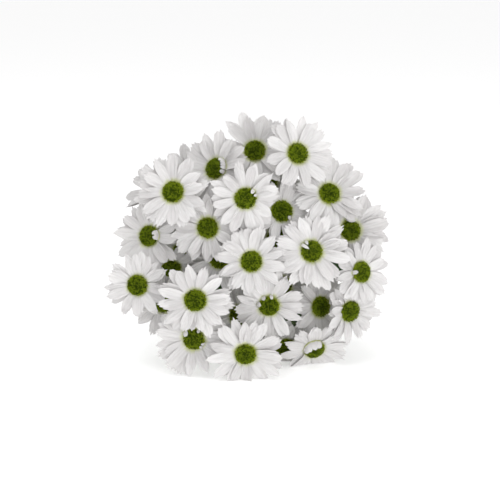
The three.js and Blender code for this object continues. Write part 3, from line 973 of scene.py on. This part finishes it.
def stalk_path(flower, stem):
    """A side flower's stalk, from its calyx to where it grows out of the main stem."""
    top = Vector(stem[0])
    between = flower.foot - top
    aside = (between - AXIS * between.dot(AXIS)).length
    depths = depth_along(stem)
    joint_depth = min((flower.foot - CROWN).dot(AXIS), depths[0]) - CROWN_RISE - aside
    index = int(np.argmin(np.abs(depths - joint_depth)))
    joint = Vector(stem[index])
    down = Vector(stem[index + 1] - stem[index - 1]).normalized()
    reach = (flower.foot - joint).length
    above = flower.foot - flower.facing * reach * 0.42
    return bezier([flower.foot, above, joint - down * reach * 0.3, joint], 34)


def stem_radii(count):
    """A main stem's radii: it thickens downwards, with a knot where each leaf grew."""
    share = np.linspace(0, 1, count)
    knots = sum(np.exp(-(((share - place) / 0.012) ** 2)) for place in KNOTS)
    radii = STEM_TOP_RADIUS + (STEM_RADIUS - STEM_TOP_RADIUS) * smooth_step(share, 0.02, 0.5)
    return np.minimum(radii * (1 + 0.10 * knots), STEM_RADIUS * 1.03)


def stalk_radii(count):
    """A stalk's radii, swollen under the calyx and where it grows out of the stem."""
    share = np.linspace(0, 1, count)
    radii = STALK_RADIUS + (STALK_TOP_RADIUS - STALK_RADIUS) * (1 - smooth_step(share, 0, 0.12))
    return radii + (STALK_FOOT_RADIUS - STALK_RADIUS) * smooth_step(share, 0.9, 1)


def add_tube(shape, path, radii, sides, cut=0.0, end_slot=0):
    """A closed ribbed tube along a path. cut slants its far end, whose face has a slot of its own."""
    path = np.asarray(path)
    tangents = np.gradient(path, axis=0)
    tangents /= np.linalg.norm(tangents, axis=1, keepdims=True)
    side = np.cross(tangents[0], np.array(ACROSS) + 0.3)
    side /= np.linalg.norm(side)
    turns = np.linspace(0, math.tau, sides + 1)
    rings = []
    for place, tangent, radius in zip(path, tangents, radii):
        side = side - tangent * side.dot(tangent)
        side /= np.linalg.norm(side)
        other = np.cross(tangent, side)
        out = radius * (1 + RIB_DEPTH * np.cos(STEM_RIBS * turns))[:, None]
        rings.append(place + out * (np.cos(turns)[:, None] * side + np.sin(turns)[:, None] * other))
    if cut:
        slant = (rings[-1] - path[-1]) @ side
        rings[-1] = rings[-1] - tangents[-1] * ((slant - slant.min()) * cut)[:, None]
    travelled = np.concatenate([[0], np.cumsum(np.linalg.norm(np.diff(path, axis=0), axis=1))]) * 2
    around = np.tile(np.linspace(0, 1, sides + 1), len(path))
    uvs = np.stack([around, np.repeat(travelled, sides + 1)], axis=1)
    shape.add(np.concatenate(rings), grid_faces(len(path) - 1, sides), uvs)
    near_fan = [(k + 1, k, sides + 1) for k in range(sides)]
    far_fan = [(sides + 1, k, k + 1) for k in range(sides)]
    outward = np.append(np.ones(sides + 1), 0)
    for ring, fan, slot in ((rings[0], near_fan, 0), (rings[-1], far_fan, end_slot)):
        shape.add(np.vstack([ring, ring.mean(axis=0)]), fan, slot=slot, outward=outward)


# ---- Leaves --------------------------------------------------------------------------------------------


def leaf_sheet(rng, length, width, arch, fold, stalk_share=0.14, lobes=4, rows=54, columns=12):
    """A lobed leaf's middle surface, root at the origin: x across, y along, z up.

    arch bends it along its length, fold lifts its sides, stalk_share is the share of it that is bare stalk,
    and rows and columns are those of its faces.
    """
    share = np.linspace(0, 1, rows + 1)[:, None]
    aside = np.linspace(-1, 1, columns + 1)[None, :]
    blade = np.clip((share - stalk_share) / (1 - stalk_share), 0, 1)
    half = np.zeros_like(aside + share)
    for sign in (-1, 1):
        shift = rng.uniform(-0.03, 0.03)
        envelope = np.sin(np.pi * blade**0.82) ** 0.62 * (1 - 0.25 * blade)
        phase = (blade + shift) * lobes
        sinus = np.exp(-(((phase % 1) - 0.5) / 0.13) ** 2) * smooth_step(blade, 0.08, 0.2)
        sinus = sinus * (1 - smooth_step(blade, 0.80, 0.95))
        teeth = np.abs(((phase * 3 + 0.3) % 1) - 0.5) * 2
        outline = envelope * (1 - 0.52 * sinus) * (1 - 0.16 * teeth)
        outline = np.maximum(outline, 0.035 * (1 - 0.6 * share))
        half = half + np.where(np.sign(aside) == sign, outline, 0)
    x = aside * half * width / 2
    sweep = 0.10 * length * np.abs(aside) ** 1.3 * half * (1 - blade)
    y = length * share * 0.94 + sweep + 0.06 * length * share**2
    from_midrib = np.abs(x)
    lateral = np.cos((share - np.abs(aside) * VEIN_SLANT * half) * math.tau * LEAF_VEINS)
    z = 4 * arch * length * share * (1 - share) + fold * from_midrib
    z = z - 0.35 * MM * np.exp(-((from_midrib / (0.9 * MM)) ** 2))
    z = z - 0.25 * MM * smooth_step(lateral, 0.8, 1.0) * np.abs(aside) * half
    wave = rng.uniform(0, math.tau)
    z = z + 0.035 * width * np.sin(share * math.tau * 2.2 + wave) * aside**2 * half * np.sign(aside + 0.01)
    return np.stack([x, y, z], axis=2)


def add_leaf(shape, sheet, matrix, thickness, slot=0):
    """Lays a leaf's sheet in place, lifts it off the table and thickens it, most of all along its midrib."""
    world = placed(sheet, matrix)
    lift_off(world, LEAF_FLOOR, 1.0 * MM, 10 * MM)
    rows, columns = sheet.shape[:2]
    midrib = 2.2 * np.exp(-((np.linspace(-1, 1, columns)[None, :] / 0.12) ** 2))
    shape.add(*thickened(world, thickness * (1 + midrib * np.linspace(1, 0.2, rows)[:, None])), slot=slot)


def frame_of(root, along, upward):
    """A matrix with its origin at root, y along one direction and z as near as may be to another."""
    along = along.normalized()
    across = along.cross(upward).normalized()
    turn = Matrix((across, along, across.cross(along))).transposed()
    return Matrix.Translation(root) @ turn.to_4x4()


def is_hidden(point):
    """Whether a point lies within the dome, above the table and clear of the flowers round it."""
    if point.z < 2 * MM or (point - CROWN).cross(AXIS).length > LEAFY_RADIUS:
        return False
    for flower in flowers:
        local = flower.turn.transposed() @ (point - flower.place)
        radius = math.hypot(local.x, local.y)
        height = whorl_height(radius)
        if radius < flower.radius * 1.1 and height - 3 * MM < local.z < height + 26 * MM:
            return False
    return True


def clearance(point):
    """How far aside a point is from the nearest flower's middle, in that flower's radii."""
    return min((point - flower.place).cross(AXIS).length / flower.radius for flower in flowers)


def add_stalk_leaf(shape, path, place, length, rng):
    """A small leaf on a stalk, grown towards the light: the widest gap between the flowers that it can reach.

    It is left out where no way to turn it keeps it clear of the flowers.
    """
    index = int(place * (len(path) - 1))
    root = Vector(path[index])
    up = Vector(path[index - 1] - path[index]).normalized()
    ways = []
    for _ in range(60):
        away = up.cross(Vector([rng.uniform(-1, 1) for _ in range(3)])).normalized()
        along = (away + up * rng.uniform(0.0, 0.9)).normalized()
        reach = length * rng.uniform(0.75, 1.1)
        if all(is_hidden(root + along * reach * share) for share in (0.35, 0.7, 1.0)):
            ways.append((clearance(root + along * reach * 0.65), along, reach))
    if ways:
        _, along, reach = max(ways, key=lambda way: way[0])
        sheet = leaf_sheet(rng, reach, reach * 0.66, 0.10, 0.14, stalk_share=0.1, lobes=3, rows=30, columns=8)
        add_leaf(shape, sheet, frame_of(root, along, up), 0.4 * MM, slot=2)


# ---- Sprays --------------------------------------------------------------------------------------------


class Spray:
    """One plant stem, with the flower that it carries itself and those that branch from it."""

    def __init__(self, index):
        self.name = SPRAYS[index]
        self.flowers = [flower for flower in flowers if flower.spray == index]
        middle = sum(self.aside(flower) for flower in self.flowers) / len(self.flowers)
        self.top = min(self.flowers, key=lambda flower: np.linalg.norm(self.aside(flower) - middle))
        self.stem = stem_path(index, self.top)

    def aside(self, flower):
        """Where a flower stands across the bunch."""
        place = flower.place - CROWN
        return np.array([place.dot(ACROSS), place.dot(UPWARD)])


def grow_spray(spray, seed):
    """A spray's stem, stalks, calyxes and small leaves as one piece, and its discs as another."""
    rng = random.Random(seed)
    green, discs = Shape(), Shape()
    add_tube(green, spray.stem, stem_radii(len(spray.stem)), 20, cut=rng.uniform(0.5, 0.9), end_slot=3)
    for flower in spray.flowers:
        add_disc(discs, flower, rng.uniform(0.96, 1.03))
        add_calyx(green, flower)
        if flower is spray.top:
            continue
        path = stalk_path(flower, spray.stem)
        add_tube(green, path, stalk_radii(len(path)), 12)
        for place, low, high in STALK_LEAVES:
            add_stalk_leaf(green, path, place, rng.uniform(low, high) * MM, rng)
    name = spray.name
    stays_with(green.object(f"{name}_green", STEM_GREEN, BRACT_GREEN, LEAF_GREEN, CUT_END), "stem", name)
    stays_with(discs.object(f"{name}_discs", DISC_GREEN), "stem")


def grow_leaf(name):
    """A leaf on a main stem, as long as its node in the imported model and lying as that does."""
    rng = random.Random(7000 + int(name.split("_")[1]))
    points = corners(name)
    middle = np.array(surface_middle(name))
    longest = np.linalg.svd(points - middle)[2][0]
    ends = [points[np.argmin(points @ longest)], points[np.argmax(points @ longest)]]
    root, tip = sorted(ends, key=lambda end: np.linalg.norm(stem_points - end, axis=1).min())
    nearest = stem_points[np.argmin(np.linalg.norm(stem_points - root, axis=1))]
    root = nearest + (root - nearest) * 0.6
    along = Vector(tip - root)
    upward = Vector(middle - (root + tip) / 2)
    upward = upward - along * upward.dot(along) / along.length_squared
    blade = Shape()
    sheet = leaf_sheet(rng, along.length, along.length * 0.56, 0.15, 0.16)
    add_leaf(blade, sheet, frame_of(Vector(root), along, upward), 0.45 * MM)
    stays_with(blade.object(f"{name}_blade", LEAF_GREEN), "leaf", name)


sprays = [Spray(index) for index in range(len(SPRAYS))]
for index, spray in enumerate(sprays):
    grow_spray(spray, 300 + index)

stem_points = np.concatenate([spray.stem for spray in sprays])
for name in sorted(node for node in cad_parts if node.startswith("leaf_")):
    grow_leaf(name)

# ---- Elastic band --------------------------------------------------------------------------------------


def band_path():
    """The middle line of a cord wound round the stems, whose last stretch crosses back over its turns."""
    centres = [
        np.array([math.cos(math.radians(angle)), math.sin(math.radians(angle))]) * BUNDLE_RADIUS
        for angle in STEM_ANGLES
        if angle is not None
    ]
    crossing = 0.17  # of a turn
    pitch = 2 * CORD_RADIUS * 1.03
    path = []
    for turn in np.linspace(0, BAND_TURNS, BAND_TURNS * 72, endpoint=False):
        toward = math.tau * turn + 0.6
        way = np.array([math.cos(toward), math.sin(toward)])
        centre = max(centres, key=lambda each: each.dot(way))
        back = smooth_step(turn, BAND_TURNS - crossing, BAND_TURNS)
        over = 2.1 * CORD_RADIUS * math.sin(math.pi * back) if back else 0.0
        across, up = centre + way * (STEM_RADIUS * 1.02 + CORD_RADIUS + over)
        height = (min(turn, BAND_TURNS - crossing) - (BAND_TURNS - crossing) / 2) * pitch
        height -= back * (BAND_TURNS - crossing) * pitch
        path.append(bunch_point(across, up, height - CROWN_TO_TIE))
    return np.array(path)


def add_ring_cord(shape, path, radius, sides):
    """A closed loop of cord."""
    tangents = np.roll(path, -1, axis=0) - np.roll(path, 1, axis=0)
    tangents /= np.linalg.norm(tangents, axis=1, keepdims=True)
    axis = np.array(AXIS)
    side = axis - tangents * (tangents @ axis)[:, None]
    side /= np.linalg.norm(side, axis=1, keepdims=True)
    other = np.cross(tangents, side)
    turns = np.linspace(0, math.tau, sides, endpoint=False)
    ring = np.cos(turns)[None, :, None] * side[:, None, :] + np.sin(turns)[None, :, None] * other[:, None, :]
    points = (path[:, None, :] + radius * ring).reshape(-1, 3)
    faces = []
    for step in range(len(path)):
        here, there = step * sides, (step + 1) % len(path) * sides
        for k in range(sides):
            beside = (k + 1) % sides
            faces.append((here + k, here + beside, there + beside, there + k))
    shape.add(points, faces)


band = Shape()
add_ring_cord(band, band_path(), CORD_RADIUS, 12)
stays_with(band.object("band_cord", BAND_RUBBER), "band", "elastic_band")

# ---- Stage, light and camera ---------------------------------------------------------------------------


def floor_finish():
    """A white table that is lit from inside, as a light table is."""
    tree = Finish("floor_white")
    lit = {"Emission_Color": (1, 1, 1, 1), "Emission_Strength": 0.40}
    return tree.finish((0.93, 0.93, 0.93, 1), 0.8, Specular_IOR_Level=0.1, **lit)


def add_floor(half_width):
    """The table's top, far wider than what is seen of it."""
    low, high = -half_width, half_width
    mesh = bpy.data.meshes.new("floor")
    mesh.from_pydata([(low, low, 0), (high, low, 0), (high, high, 0), (low, high, 0)], [], [(0, 1, 2, 3)])
    mesh.materials.append(floor_finish())
    floor = bpy.data.objects.new("floor", mesh)
    bpy.context.scene.collection.objects.link(floor)


def add_room():
    """White walls and a dimmer ceiling, all round."""
    room = bpy.data.worlds.new("studio")
    room.use_nodes = True
    tree = Tree(room.node_tree)
    way = tree.node("ShaderNodeSeparateXYZ", None, tree.value("ShaderNodeTexCoord", None, output="Generated"))
    walls = Value(tree, way.outputs["Z"]).size().fade(0.9, 0.1)
    light = tree.value("ShaderNodeBackground", None, Strength=0.62 + walls * 0.40)
    tree.node("ShaderNodeOutputWorld", None, light)
    bpy.context.scene.world = room


def add_area_light(name, place, size, power):
    """A round soft light that points at the flowers."""
    data = bpy.data.lights.new(name, "AREA")
    data.shape = "DISK"
    data.size = size
    data.energy = power
    light = bpy.data.objects.new(name, data)
    bpy.context.scene.collection.objects.link(light)
    light.location = place
    light.rotation_euler = (bunch_point(0, 0, -30 * MM) - place).to_track_quat("-Z", "Y").to_euler()


def add_camera():
    """A camera that looks along the bunch, at its flowers."""
    data = bpy.data.cameras.new("camera")
    data.lens = FOCAL_LENGTH
    data.sensor_width = SENSOR
    camera = bpy.data.objects.new("camera", data)
    bpy.context.scene.collection.objects.link(camera)
    across, up, out = VIEW_MIDDLE
    place = bunch_point(across, up, out + VIEW_WIDTH * FOCAL_LENGTH / SENSOR)
    turn = Matrix((ACROSS, UPWARD, AXIS)).transposed()
    camera.matrix_world = Matrix.Translation(place) @ turn.to_4x4()
    bpy.context.scene.camera = camera


add_floor(20)
add_room()
add_area_light("front_light", bunch_point(0.8, -0.25, 1.7), size=1.4, power=17)
add_area_light("top_light", Vector((-0.3, -0.6, 2.2)), size=2.0, power=19)
add_camera()
bpy.context.scene.view_settings.view_transform = "Standard"
